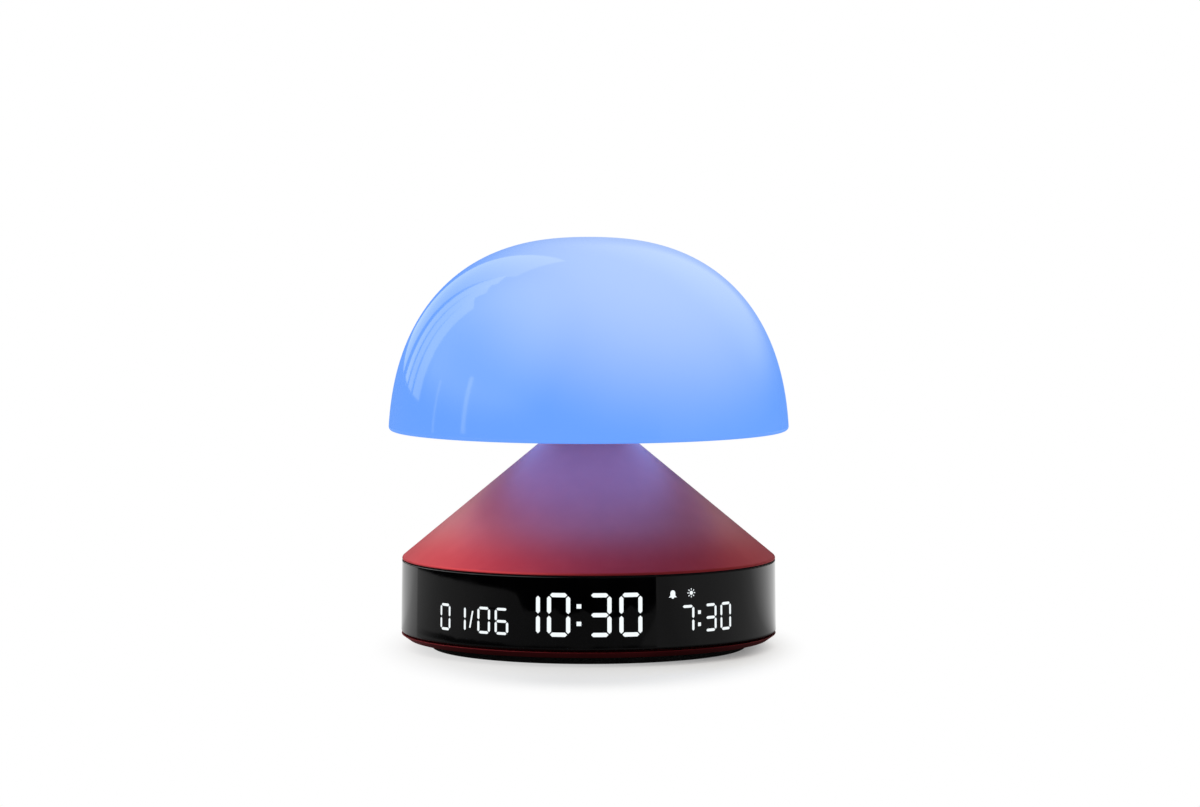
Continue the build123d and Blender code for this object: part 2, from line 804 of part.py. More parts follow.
def digit_cells():
    # (arc, height, width, tallness) of each opening of the light box.
    cells = [(arc, time_centre_z, time_width, time_height) for arc in time_arcs]
    cells += [(arc, date_centre_z, date_width, date_height) for arc in date_arcs]
    cells += [(arc, alarm_centre_z, alarm_width, alarm_height) for arc in alarm_arcs]
    cells.append((time_colon_arc, time_centre_z, time_colon_width, 2 * time_colon_rise + time_colon_height))
    cells.append((date_slash_arc, date_centre_z, 2 * date_slash_lean, date_slash_height))
    cells.append((alarm_colon_arc, alarm_centre_z, alarm_colon_side, 2 * alarm_colon_rise + alarm_colon_side))
    cells.append((bell_arc, bell_centre_z, bell_height, bell_height))
    cells.append((sun_arc, sun_centre_z, 2 * sun_r, 2 * sun_r))
    return cells


def light_box():
    half = light_box_half_angle
    box = tube(light_box_outer_r, light_box_inner_r, floor_z, light_box_top_z, arc=2 * half, start=-90 - half)
    cuts = []
    for arc, z, width, height in digit_cells():
        opening = Rectangle(width + cell_margin, height + cell_margin)
        cuts.append(extrude(face_plane(arc, z) * opening, amount=light_box_depth + 4, both=True))
    return box - cuts


def display_board():
    half = display_board_half_angle
    radii = (display_board_outer_r, display_board_inner_r)
    return tube(*radii, floor_z, light_box_top_z, arc=2 * half, start=-90 - half)


def display_leds():
    seat = display_board_outer_r - face_r + chip_led_lift
    leds = []
    for arc, z, width, height in digit_cells():
        for side in (-1, 1):
            package = Box(chip_led_width, chip_led_length, chip_led_height, align=(mid, mid, low))
            leds.append(face_plane(arc, z + side * height / 4) * Pos(0, 0, seat) * package)
    return group(leds)


# ---------------------------------------------------------------- rear keys
def key_mark(kind):
    # The sign sunk in a key's cap, in the cap's own plane.
    arm = key_r * 0.55
    across = Rectangle(2 * arm, key_mark_width)
    if kind == "minus_key":
        return across
    if kind == "plus_key":
        return across + Rectangle(key_mark_width, 2 * arm)
    if kind == "clock_key":
        face = Circle(arm) - Circle(arm - key_mark_width)
        hand = Pos(0, arm * 0.35) * Rectangle(key_mark_width * 0.8, arm * 0.7)
        return face + hand + Pos(arm * 0.25, 0) * Rectangle(arm * 0.5 + key_mark_width, key_mark_width * 0.8)
    return bell_outline(2 * arm)


def rear_key(x, kind):
    face = band_foot_r + key_proud
    cap = rod_y(key_r, x, key_z, rear_board_y, face + 1)
    cap &= tube(face, key_collar_inner_r, key_z - 2 * key_r, key_z + 2 * key_r)
    outer_edges = cap.edges().filter_by(lambda edge: edge.center().Y > sqrt(band_foot_r**2 - x**2) - 1)
    cap = fillet(outer_edges.filter_by(GeomType.LINE, reverse=True), key_round)
    collar = rod_y(key_collar_r, x, key_z, rear_board_y, face + 1)
    collar &= tube(key_collar_inner_r + key_collar, key_collar_inner_r, key_z - 2 * key_r, key_z + 2 * key_r)
    tail = rod_y(key_tail_r, x, key_z, tact_top_y, sqrt(key_collar_inner_r**2 - x**2) + key_collar / 2)
    mark_plane = Plane(origin=(x, rear_board_y, key_z), x_dir=(-1, 0, 0), z_dir=(0, 1, 0))
    mark = extrude(mark_plane * key_mark(kind), face + 1 - rear_board_y)
    mark &= tube(face + 1, face - key_mark_depth, key_z - 2 * key_r, key_z + 2 * key_r)
    return cap + collar + tail - mark


def rear_board():
    top = deck_z - rear_board_headroom
    return block(2 * rear_board_half_width, rear_board_thickness, floor_z, top, 0, rear_post_y)


def key_switches():
    shapes = []
    for x in key_places:
        y = rear_board_y + tact_height / 2
        housing = block(tact_side, tact_height, key_z - tact_side / 2, key_z + tact_side / 2, x, y)
        front = rear_board_y + tact_height
        shapes.append(housing - rod_y(tact_well_r, x, key_z, front - tact_well_depth, front))
    return group(shapes)


def key_plunger(x):
    back = rear_board_y + tact_height - tact_well_depth + key_travel + plunger_gap
    return rod_y(tact_well_r - plunger_gap, x, key_z, back, tact_top_y)


# ---------------------------------------------------------------- power inlet
def inlet_profile(width, height, depth):
    return extrude(RectangleRounded(width, height, height / 2 - 0.01), depth)


def usb_shell():
    depth = sqrt(face_r**2 - (inlet_width / 2) ** 2) - inlet_recess - rear_board_y
    shell = inlet_profile(inlet_width, inlet_height, depth)
    shell -= inlet_profile(inlet_width - 2 * inlet_wall, inlet_height - 2 * inlet_wall, depth)
    return Pos(0, rear_board_y, inlet_z) * Rot(-90, 0, 0) * shell


def usb_tongue():
    play = 2 * (inlet_wall + fit_gap)
    plug = inlet_profile(inlet_width - play, inlet_height - play, inlet_block)
    reach = sqrt(face_r**2 - (inlet_width / 2) ** 2) - inlet_recess - rear_board_y - 1.0
    plug += Box(inlet_tongue_width, inlet_tongue_height, reach, align=(mid, mid, low))
    return Pos(0, rear_board_y, inlet_z) * Rot(-90, 0, 0) * plug


# ---------------------------------------------------------------- main board and what it carries
def main_board():
    board = disc(board_r, board_z, board_top_z)
    for x, y in on_circle(board_post_circle, board_post_angles):
        board -= disc(screw_r + fit_gap, board_z, board_top_z, x, y)
    return board


def board_screws():
    places = on_circle(board_post_circle, board_post_angles)
    return group([screw(board_thickness + screw_bite, x, y, board_top_z) for x, y in places])


def main_chip():
    chip = block(chip_side, chip_side, board_top_z, board_top_z + chip_height, *chip_place)
    return chamfer(chip.edges().group_by(Axis.Z)[-1], 0.2)


def clock_crystal():
    x, y = crystal_place
    return Pos(x, y, board_top_z + crystal_r) * Rot(0, 90, 0) * Cylinder(crystal_r, crystal_length)


def board_capacitors():
    size = (capacitor_length, capacitor_width, board_top_z, board_top_z + header_height)
    return group([block(*size, x, y) for x, y in capacitor_places])


def board_headers():
    top = board_top_z + header_height
    rear_inner_y = rear_board_y - rear_board_thickness
    rear = block(rear_header_width, header_depth, board_top_z, top, 0, rear_inner_y - header_depth / 2)
    front_y = sqrt(display_board_inner_r**2 - (display_header_width / 2) ** 2) - fit_gap
    front_depth = front_y - board_r + header_depth
    front = block(display_header_width, front_depth, board_top_z, top, 0, front_depth / 2 - front_y)
    lamp = block(lamp_header_width, 2 * harness_r + 1, board_top_z, harness_low_z, 0, harness_offset)
    return group([rear, front, lamp])


def light_harness():
    return disc(harness_r, harness_low_z, light_board_z, 0, harness_offset)


def battery_pack():
    pack = block(battery_length, battery_width, battery_z, battery_z + battery_thickness)
    return fillet(pack.edges(), min(battery_round, battery_round_share * battery_thickness))


def wire(points, radius, bends):
    path = FilletPolyline(*points, radius=bends)
    section = Plane(origin=path @ 0, z_dir=path % 0) * Circle(radius)
    return sweep(section, path=path)


def battery_lead():
    z = battery_z + battery_thickness / 2
    y = battery_width / 2
    rise = board_z - z
    far_y = y + battery_lead_reach
    points = [(battery_lead_x, y, z), (battery_lead_x, far_y, z), (battery_lead_x, far_y, board_z)]
    return wire(points, battery_wire_r, [lead_bend_share * rise])


# ---------------------------------------------------------------- speaker
def speaker_frame():
    inner = speaker_opening_r
    top = speaker_z + speaker_depth
    sheet = speaker_sheet
    neck = speaker_magnet_r + sheet
    return turned(
        [
            (inner, speaker_z),
            (speaker_r, speaker_z),
            (speaker_r, speaker_z + speaker_flange),
            (inner + sheet, speaker_z + speaker_flange),
            (neck, top),
            (speaker_dust_cap_r, top),
            (speaker_dust_cap_r, top - sheet),
            (neck - sheet, top - sheet),
            (inner, speaker_z + speaker_flange),
        ]
    )


def speaker_magnet():
    top = speaker_z + speaker_depth
    return disc(speaker_magnet_r, top, top + speaker_magnet_height)


def speaker_cone():
    edge = speaker_opening_r - fit_gap
    apex = speaker_z + speaker_depth - speaker_cone_gap
    sheet = speaker_sheet
    return turned(
        [
            (edge, speaker_z),
            (edge, speaker_z + sheet),
            (edge - speaker_surround, speaker_z + 2 * sheet),
            (speaker_dust_cap_r, apex + sheet),
            (0, apex + sheet + speaker_dust_cap_rise),
            (0, apex + speaker_dust_cap_rise),
            (speaker_dust_cap_r, apex),
            (edge - speaker_surround, speaker_z + sheet),
        ]
    )


def speaker_gasket():
    return tube(speaker_r, speaker_opening_r, cover_top_z, speaker_z)


def speaker_lead():
    z = floor_z + lead_notch_height / 2
    start = -(speaker_opening_r - speaker_wire_r)
    out = -(chamber_r + speaker_lead_reach)
    bend = lead_bend_share * (board_z - z)
    return wire([(start, 0, z), (out, 0, z), (out, 0, board_z)], speaker_wire_r, [bend])


# ---------------------------------------------------------------- base
def base_cover():
    land_r = trim_bore_r - fit_gap
    cover = disc(cover_r, cover_z, cover_top_z)
    cover += tube(land_r, land_r - cover_land_width, cover_top_z, band_z)
    rim_top = speaker_z + speaker_flange
    cover += tube(speaker_rim_r + speaker_rim_wall, speaker_rim_r, cover_top_z, rim_top)
    holes = [(0, 0)]
    for ring in range(1, grille_rings + 1):
        holes += on_circle(ring * grille_pitch, spread(6 * ring))
    cover -= [disc(grille_hole_r, cover_z, cover_top_z, x, y) for x, y in holes]
    for x, y in on_circle(base_screw_circle, base_screw_angles):
        cover -= disc(screw_r + fit_gap, cover_z, band_z, x, y)
        cover -= disc(screw_head_r + fit_gap, cover_z, cover_z + screw_head_height, x, y)
    return cover


def base_screws():
    seat = cover_z + screw_head_height
    length = band_z - seat + screw_bite
    places = on_circle(base_screw_circle, base_screw_angles)
    return group([screw(length, x, y, seat, up=True) for x, y in places])


def base_ring():
    outline = [
        (trim_bore_r, cover_top_z),
        (cover_r + fit_gap, cover_top_z),
        (cover_r + fit_gap, foot_height),
        (trim_low_r, foot_height),
        (trim_high_r, band_z - trim_land),
        (trim_high_r, band_z),
        (trim_bore_r, band_z),
    ]
    return turned(outline, [0, 0, 0, 0.2, 0.1, 0.1, 0])


def rubber_foot():
    foot = turned(
        [(foot_inner_r, 0), (foot_outer_r, 0), (foot_outer_r, foot_height), (foot_inner_r, foot_height)],
        [foot_round, foot_round, 0, 0],
    )
    middle = (foot_inner_r + foot_outer_r) / 2
    for shift in (-1, 1):
        r = middle + shift * 1.5 * foot_groove_width
        foot -= tube(r + foot_groove_width / 2, r - foot_groove_width / 2, 0, foot_groove_depth)
    return foot


save("shade_dome", shade_dome())
save("shade_diffuser", shade_diffuser())
save("head_retainer", head_retainer())
save("head_screws", head_screws())
save("head_hub", head_hub())
save("light_board", light_board())
save("light_board_screws", light_board_screws())
save("light_leds", light_leds())
save("light_harness", light_harness())
save("return_spring", return_spring())
save("switch_board", switch_board())
save("head_switch", head_switch())
save("head_switch_plunger", head_switch_plunger())
save("stem", stem())
save("stem_cap", stem_cap())
save("stem_screws", stem_screws())
save("neck_collar", neck_collar())
save("cone_shell", cone_shell())
save("seal_ring", seal_ring())
save("deck_plate", deck_plate())
save("deck_screws", deck_screws())
save("chassis", chassis())

blank = band_blank()
figures = {
    "time_digits": time_outlines(),
    "date_digits": date_outlines(),
    "alarm_digits": alarm_outlines(),
    "status_icons": icon_outlines(),
}
for name, outlines in figures.items():
    save(name, lit_group(outlines, blank))
save("display_band", display_band(blank, [pair for outlines in figures.values() for pair in outlines]))
save("light_box", light_box())
save("display_board", display_board())
save("display_leds", display_leds())

for x, name in zip(key_places, key_names):
    save(name, rear_key(x, name))
    save(f"{name}_plunger", key_plunger(x))
save("rear_board", rear_board())
save("key_switches", key_switches())
save("usb_shell", usb_shell())
save("usb_tongue", usb_tongue())

save("main_board", main_board())
save("board_screws", board_screws())
save("main_chip", main_chip())
save("clock_crystal", clock_crystal())
save("board_capacitors", board_capacitors())
save("board_headers", board_headers())
save("battery_pack", battery_pack())
save("battery_lead", battery_lead())
save("speaker_frame", speaker_frame())
save("speaker_magnet", speaker_magnet())
save("speaker_cone", speaker_cone())
save("speaker_gasket", speaker_gasket())
save("speaker_lead", speaker_lead())
save("base_cover", base_cover())
save("base_screws", base_screws())
save("base_ring", base_ring())
save("rubber_foot", rubber_foot())
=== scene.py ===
import json
from math import asin, cos, pi, radians, sin, tan

import bmesh
import bpy
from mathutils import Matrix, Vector


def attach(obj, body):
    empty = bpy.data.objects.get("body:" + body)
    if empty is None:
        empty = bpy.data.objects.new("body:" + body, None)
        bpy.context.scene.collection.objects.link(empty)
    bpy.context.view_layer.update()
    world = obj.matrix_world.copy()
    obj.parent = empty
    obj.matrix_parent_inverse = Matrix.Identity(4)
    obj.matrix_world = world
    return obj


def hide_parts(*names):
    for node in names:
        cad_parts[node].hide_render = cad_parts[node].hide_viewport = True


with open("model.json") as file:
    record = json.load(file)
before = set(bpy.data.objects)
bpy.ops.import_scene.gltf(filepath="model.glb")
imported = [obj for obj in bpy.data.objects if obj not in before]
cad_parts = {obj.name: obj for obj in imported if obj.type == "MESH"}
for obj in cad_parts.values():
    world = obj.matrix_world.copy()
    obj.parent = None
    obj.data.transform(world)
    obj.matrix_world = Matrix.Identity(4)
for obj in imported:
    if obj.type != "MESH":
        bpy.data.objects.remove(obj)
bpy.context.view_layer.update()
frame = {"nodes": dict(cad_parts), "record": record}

mm = 0.001
black, white = (0, 0, 0), (1, 1, 1)
print("frame loaded:", len(frame["nodes"]), "nodes")


# A number, colour or vector on its way through a material's nodes.
class Flow:
    def __init__(self, paint, socket):
        self.paint = paint
        self.socket = socket

    def __add__(self, other):
        return self.paint.maths("ADD", self, other)

    def __sub__(self, other):
        return self.paint.maths("SUBTRACT", self, other)

    def __rsub__(self, other):
        return self.paint.maths("SUBTRACT", other, self)

    def __mul__(self, other):
        return self.paint.maths("MULTIPLY", self, other)

    def __truediv__(self, other):
        return self.paint.maths("DIVIDE", self, other)

    def __pow__(self, other):
        return self.paint.maths("POWER", self, other)

    def __gt__(self, other):
        return self.paint.maths("GREATER_THAN", self, other)

    def __lt__(self, other):
        return self.paint.maths("LESS_THAN", self, other)

    __radd__ = __add__
    __rmul__ = __mul__


# The nodes of one material, or of the world.
class Paint:
    def __init__(self, owner):
        owner.use_nodes = True
        self.owner = owner
        self.tree = owner.node_tree
        self.tree.nodes.clear()

    def node(self, kind, settings=None, values=None, output=0):
        made = self.tree.nodes.new(kind)
        for name, value in (settings or {}).items():
            if name == "stops":
                self.setStops(made.color_ramp.elements, value)
            else:
                setattr(made, name, value)
        for name, value in (values or {}).items():
            socket = made.inputs[name]
            if isinstance(value, Flow):
                self.tree.links.new(value.socket, socket)
            elif socket.type == "RGBA" and len(value) == 3:
                socket.default_value = (*value, 1.0)
            else:
                socket.default_value = value
        return Flow(self, made.outputs[output]) if len(made.outputs) else None

    def setStops(self, spots, stops):  # a stop is (place, grey level)
        while len(spots) < len(stops):
            spots.new(1.0)
        for spot, (place, level) in zip(spots, stops):
            spot.position = place
            spot.color = (level, level, level, 1.0)

    def ramp(self, value, stops):
        return self.node("ShaderNodeValToRGB", {"stops": stops}, {0: value})

    def maths(self, operation, first, second=0.0):
        return self.node("ShaderNodeMath", {"operation": operation}, {0: first, 1: second})

    def vector(self, operation, first, second=(0, 0, 0), output=0):
        return self.node("ShaderNodeVectorMath", {"operation": operation}, {0: first, 1: second}, output)

    def aim(self, vector, toward):  # how far a direction points one way
        return self.vector("DOT_PRODUCT", vector, Vector(toward).normalized(), "Value")

    def blend(self, amount, first, second):  # from the first colour to the second
        return self.node("ShaderNodeMix", {"data_type": "RGBA"}, {0: amount, 6: first, 7: second}, 2)

    def rise(self, value, low, high):  # 0 below low, 1 above high, smooth between
        limits = {0: value, 1: low, 2: high, 3: 0.0, 4: 1.0}
        return self.node("ShaderNodeMapRange", {"interpolation_type": "SMOOTHSTEP"}, limits)

    def place(self):  # the point on the piece, in metres
        return self.node("ShaderNodeTexCoord", output="Object")

    def split(self, vector):
        first = self.node("ShaderNodeSeparateXYZ", None, {0: vector})
        return [Flow(self, socket) for socket in first.socket.node.outputs]

    def pattern(self, stretch, size):  # size of a speck in mm
        stretched = self.node("ShaderNodeMapping", None, {0: self.place(), 3: stretch})
        return {"Vector": stretched, "Scale": 1 / (size * mm)}

    def noise(self, size, detail=2.0, stretch=(1, 1, 1)):
        return self.node("ShaderNodeTexNoise", None, {**self.pattern(stretch, size), "Detail": detail})

    def cells(self, size, feature="F1", stretch=(1, 1, 1)):
        return self.node("ShaderNodeTexVoronoi", {"feature": feature}, self.pattern(stretch, size))

    def bump(self, height, depth, normal=None):  # depth in mm
        values = {"Height": height, "Distance": depth * mm, "Strength": 1.0}
        if normal is not None:
            values["Normal"] = normal
        return self.node("ShaderNodeBump", None, values)

    def ray(self, kind):
        return self.node("ShaderNodeLightPath", output=f"Is {kind} Ray")

    def glow(self, colour):
        return self.node("ShaderNodeEmission", None, {"Color": colour, "Strength": 1.0})

    def mixShaders(self, amount, first, second):
        return self.node("ShaderNodeMixShader", None, {0: amount, 1: first, 2: second})

    def surface(self, values):
        shader = self.node("ShaderNodeBsdfPrincipled", None, values)
        self.node("ShaderNodeOutputMaterial", None, {0: shader})
        return self.owner


def paintFor(name):
    return Paint(bpy.data.materials.new(name))


def fromAxis(x, y):  # distance from the clock's upright axis
    return (x * x + y * y) ** 0.5


def around(middle, pattern, width):  # a pattern of 0 to 1 laid round a middle value
    return middle - width / 2 + pattern * width


shadeLook = {
    "colour": (0.07, 0.10, 0.16),
    "glow": (0.082, 0.276, 0.86),
    "glowBright": (0.370, 0.510, 0.86),  # the glow painted brighter on one side, a painted highlight of the soft light from the upper right front
    "centre": (0, 0, 60 * mm),
    "paintedHighlightSide": (0.24, -0.42, 0.875),
    "paintedHighlightFrom": 0.50,
    "paintedHighlightTo": 1.05,
    "cloudSize": 24,
    "clouding": 0.07,  # the opal is a little uneven
    "roughness": 0.07,
    "roughnessSpread": 0.03,
    "smearSize": 14,
    "rimFrom": 62.9 * mm,  # the rim is left matt
    "rimTo": 63.9 * mm,
    "rimRoughness": 0.85,
    "scratchSize": 9,
    "scratchStretch": (1, 1, 2.6),
    "scratchWidth": 0.012,
    "scratchDepth": 0.0012,
    "waveSize": 30,
    "waveDepth": 0.02,
    "ior": 1.49,
}


def opalShade(look):
    paint = paintFor("opalShade")
    place = paint.place()
    outward = paint.vector("NORMALIZE", paint.vector("SUBTRACT", place, look["centre"]))
    # near masks a painted highlight: the glow is painted brighter toward the upper right front, where soft
    # light falls
    near = paint.rise(paint.aim(outward, look["paintedHighlightSide"]), look["paintedHighlightFrom"], look["paintedHighlightTo"])
    cloud = paint.noise(look["cloudSize"], 3) * look["clouding"] - look["clouding"] / 2
    scratches = paint.cells(look["scratchSize"], "DISTANCE_TO_EDGE", look["scratchStretch"])
    scratches = paint.rise(scratches, 0.0, look["scratchWidth"])
    height = paint.split(place)[2]
    rim = 1 - paint.rise(height, look["rimFrom"], look["rimTo"])
    smear = around(look["roughness"], paint.noise(look["smearSize"], 4), look["roughnessSpread"])
    waves = paint.bump(paint.noise(look["waveSize"], 1), look["waveDepth"])
    return paint.surface({
        "Base Color": look["colour"],
        "Emission Color": paint.blend(near + cloud, look["glow"], look["glowBright"]),
        "Emission Strength": 1.0,
        "Roughness": smear + rim * look["rimRoughness"],
        "IOR": look["ior"],
        "Normal": paint.bump(scratches, look["scratchDepth"], waves),
    })


diffuserLook = {
    "colour": (0.45, 0.55, 0.72),
    "bright": (0.11, 0.69, 2.10),  # the lamps stand in a ring
    "dark": (0.006, 0.02, 0.06),
    "brightRadius": 29 * mm,
    "darkRadius": 46 * mm,
    "hubFrom": 8 * mm,  # the hub shades the middle
    "hubTo": 24 * mm,
    "hubShade": 0.35,
    "roughness": 0.46,
    "roughnessSpread": 0.08,
    "smearSize": 3,
    "grainSize": 0.6,
    "grainDepth": 0.01,
}


def opalDiffuser(look):
    paint = paintFor("opalDiffuser")
    x, y = paint.split(paint.place())[:2]
    radius = fromAxis(x, y)
    reach = 1 - paint.rise(radius, look["brightRadius"], look["darkRadius"])
    hub = 1 - paint.rise(radius, look["hubFrom"], look["hubTo"])
    reach = reach * (1 - hub * look["hubShade"])
    return paint.surface({
        "Base Color": look["colour"],
        "Emission Color": paint.blend(reach, look["dark"], look["bright"]),
        "Emission Strength": 1.0,
        "Roughness": around(look["roughness"], paint.noise(look["smearSize"], 3), look["roughnessSpread"]),
        "Normal": paint.bump(paint.cells(look["grainSize"]), look["grainDepth"]),
    })


coneLook = {
    "colour": (0.72, 0.045, 0.062),
    "worn": (0.78, 0.07, 0.085),
    "roughness": 0.58,
    "roughnessSpread": 0.06,
    "grainSize": 0.16,  # bead-blasted before it is dyed
    "grainDepth": 0.004,
    "grainTone": 0.3,
    "patchSize": 6,
    "patchFrom": 0.35,
    "patchTo": 0.75,
    "patchTone": 0.35,
    "sealed": 1.0,  # the clear seal is thicker near the neck than at the edge
    "sealedEdge": 0.22,
    "sealFrom": 38 * mm,
    "sealTo": 52 * mm,
    "sealRoughness": 0.48,
    "sealIor": 2.0,
}

# the base ring's red is painted darker, as painted shade on its low, downward-facing bevel, and it is hardly
# sealed
shadedRingLook = dict(
    coneLook, colour=(0.36, 0.020, 0.028), worn=(0.40, 0.034, 0.042), sealed=0.15, sealedEdge=0.15
)


def redAluminium(name, look):
    paint = paintFor(name)
    grain = paint.noise(look["grainSize"], 3)
    patches = paint.rise(paint.noise(look["patchSize"], 3), look["patchFrom"], look["patchTo"])
    tone = patches * look["patchTone"] + grain * look["grainTone"]
    x, y = paint.split(paint.place())[:2]
    thin = paint.rise(fromAxis(x, y), look["sealFrom"], look["sealTo"])
    return paint.surface({
        "Base Color": paint.blend(tone, look["colour"], look["worn"]),
        "Metallic": 1.0,
        "Roughness": around(look["roughness"], grain, look["roughnessSpread"]),
        "Coat Weight": look["sealed"] - thin * (look["sealed"] - look["sealedEdge"]),
        "Coat Roughness": look["sealRoughness"],
        "Coat IOR": look["sealIor"],
        "Normal": paint.bump(grain, look["grainDepth"]),
    })


bandLook = {
    "colour": (0.0004, 0.0004, 0.0006),
    "smudge": (0.0010, 0.0010, 0.0013),
    "smudgeSize": 9,
    "smudgeStretch": (1, 1, 0.6),
    "smudgeFrom": 0.45,
    "smudgeTo": 0.8,
    "roughness": 0.03,
    "smudgeRoughness": 0.025,
    "ior": 1.5,
}


def glossBlack(look):
    paint = paintFor("glossBlack")
    smudge = paint.noise(look["smudgeSize"], 4, look["smudgeStretch"])
    smudge = paint.rise(smudge, look["smudgeFrom"], look["smudgeTo"])
    return paint.surface({
        "Base Color": paint.blend(smudge, look["colour"], look["smudge"]),
        "Roughness": look["roughness"] + smudge * look["smudgeRoughness"],
        "IOR": look["ior"],
    })


figureLook = {
    "colour": (0.02, 0.02, 0.02),
    "glow": (0.90, 0.965, 1.0),
    "glowBright": (0.95, 1.0, 1.0),
    "speckSize": 1.2,
    "roughness": 0.06,
}


def litWhite(look):
    paint = paintFor("litWhite")
    return paint.surface({
        "Base Color": look["colour"],
        "Emission Color": paint.blend(paint.noise(look["speckSize"], 2), look["glow"], look["glowBright"]),
        "Emission Strength": 1.0,
        "Roughness": look["roughness"],
    })


mouldedLook = {"patchSize": 7, "patchFrom": 0.3, "patchTo": 0.8, "whiter": 0.25, "roughnessSpread": 0.08}


def moulded(name, colour, roughness, grainSize, grainDepth, spread=0.12):
    paint = paintFor(name)  # moulded plastic: a fine grain and a slight unevenness of colour
    look = mouldedLook
    grain = paint.noise(grainSize, 3)
    patches = paint.rise(paint.noise(look["patchSize"], 3), look["patchFrom"], look["patchTo"])
    lighter = tuple(c + (1 - c) * spread * look["whiter"] + c * spread for c in colour)
    return paint.surface({
        "Base Color": paint.blend(patches, colour, lighter),
        "Roughness": around(roughness, grain, look["roughnessSpread"]),
        "Normal": paint.bump(grain, grainDepth),
    })


brushedLook = {"darkening": 0.86, "roughnessSpread": 0.1, "depth": 0.003}


def brushed(name, colour, roughness, size, stretch):
    paint = paintFor(name)  # turned or drawn metal
    lines = paint.noise(size, 2, stretch)
    darker = tuple(c * brushedLook["darkening"] for c in colour)
    return paint.surface({
        "Base Color": paint.blend(lines, colour, darker),
        "Metallic": 1.0,
        "Roughness": around(roughness, lines, brushedLook["roughnessSpread"]),
        "Normal": paint.bump(lines, brushedLook["depth"]),
    })


rubberLook = {
    "colour": (0.006, 0.006, 0.007),
    "dust": (0.016, 0.015, 0.014),
    "dustSize": 2.5,
    "dustFrom": 0.55,
    "dustTo": 0.85,
    "dustTone": 0.6,
    "grainSize": 0.25,
    "grainDepth": 0.02,
    "roughness": 0.795,
    "roughnessSpread": 0.15,
}


def blackRubber(look):
    paint = paintFor("blackRubber")
    grain = paint.noise(look["grainSize"], 3)
    dust = paint.rise(paint.noise(look["dustSize"], 5), look["dustFrom"], look["dustTo"])
    return paint.surface({
        "Base Color": paint.blend(dust * look["dustTone"], look["colour"], look["dust"]),
        "Roughness": around(look["roughness"], grain, look["roughnessSpread"]),
        "Normal": paint.bump(grain, look["grainDepth"]),
    })


keyLook = {
    "colour": (0.030, 0.030, 0.034),
    "sign": (0.80, 0.81, 0.82),
    "pitch": 11 * mm,
    "height": 17.3 * mm,
    "signReach": 2.75 * mm,
    "signFrom": 54.05 * mm,  # distance of the sunk signs from the clock's axis
    "signTo": 54.33 * mm,
    "grainSize": 0.2,
    "grainDepth": 0.006,
    "roughness": 0.41,
    "roughnessSpread": 0.1,
}


def keyPlastic(look):
    paint = paintFor("keyPlastic")
    x, y, z = paint.split(paint.place())
    radius = fromAxis(x, y)
    across = (paint.maths("FRACT", x / look["pitch"] + 2) - 0.5) * look["pitch"]
    up = z - look["height"]
    inKey = (across * across + up * up) ** 0.5 < look["signReach"]
    sign = inKey * (radius > look["signFrom"]) * (radius < look["signTo"])
    grain = paint.noise(look["grainSize"], 3)
    return paint.surface({
        "Base Color": paint.blend(sign, look["colour"], look["sign"]),
        "Roughness": around(look["roughness"], grain, look["roughnessSpread"]),
        "Normal": paint.bump(grain, look["grainDepth"]),
    })


boardLook = {
    "trackPitch": 2.2,
    "trackFrom": 0.05,
    "trackTo": 0.09,
    "trackTone": 0.7,
    "trackHeight": 0.03,
    "holePitch": 1.7,
    "holeFrom": 0.10,
    "holeTo": 0.14,
    "smearSize": 0.8,
    "roughness": 0.33,
    "roughnessSpread": 0.1,
}


def circuitBoard(name, mask, track, ring):
    paint = paintFor(name)  # solder mask over copper tracks, and bare rings round the holes
    look = boardLook
    edges = paint.cells(look["trackPitch"], "DISTANCE_TO_EDGE")
    tracks = 1 - paint.rise(edges, look["trackFrom"], look["trackTo"])
    holes = 1 - paint.rise(paint.cells(look["holePitch"]), look["holeFrom"], look["holeTo"])
    colour = paint.blend(tracks * look["trackTone"], mask, track)
    return paint.surface({
        "Base Color": paint.blend(holes, colour, ring),
        "Roughness": around(look["roughness"], paint.noise(look["smearSize"], 2), look["roughnessSpread"]),
        "Normal": paint.bump(tracks, look["trackHeight"]),
    })


ledLook = {
    "colour": (0.90, 0.86, 0.60),
    "lens": (0.95, 0.93, 0.80),
    "glow": (0.20, 0.40, 1.0),
    "glowBright": (0.30, 0.50, 1.0),
    "strength": 0.6,
    "speckSize": 0.12,
    "roughness": 0.3,
}


def ledPackage(look):
    paint = paintFor("ledPackage")
    speck = paint.cells(look["speckSize"])
    return paint.surface({
        "Base Color": paint.blend(speck, look["colour"], look["lens"]),
        "Emission Color": paint.blend(speck, look["glow"], look["glowBright"]),
        "Emission Strength": look["strength"],
        "Roughness": look["roughness"],
    })


fibreLook = {"stretch": (1, 0.35, 1), "lightening": 1.7}


def fibres(name, colour, size, depth, roughness):
    paint = paintFor(name)  # pressed paper and foam
    web = paint.noise(size, 5, fibreLook["stretch"])
    lighter = tuple(c * fibreLook["lightening"] for c in colour)
    return paint.surface({
        "Base Color": paint.blend(web, colour, lighter),
        "Roughness": roughness,
        "Normal": paint.bump(web, depth),
    })


wrapLook = {"darkening": 0.8, "roughness": 0.36, "roughnessSpread": 0.12, "sheen": 0.3, "depth": 0.03}


def wrapped(name, colour, size, stretch):
    paint = paintFor(name)  # shrink wrap and wire sleeves
    look = wrapLook
    ripple = paint.noise(size, 3, stretch)
    darker = tuple(c * look["darkening"] for c in colour)
    return paint.surface({
        "Base Color": paint.blend(ripple, colour, darker),
        "Roughness": around(look["roughness"], ripple, look["roughnessSpread"]),
        "Coat Weight": look["sheen"],
        "Normal": paint.bump(ripple, look["depth"]),
    })


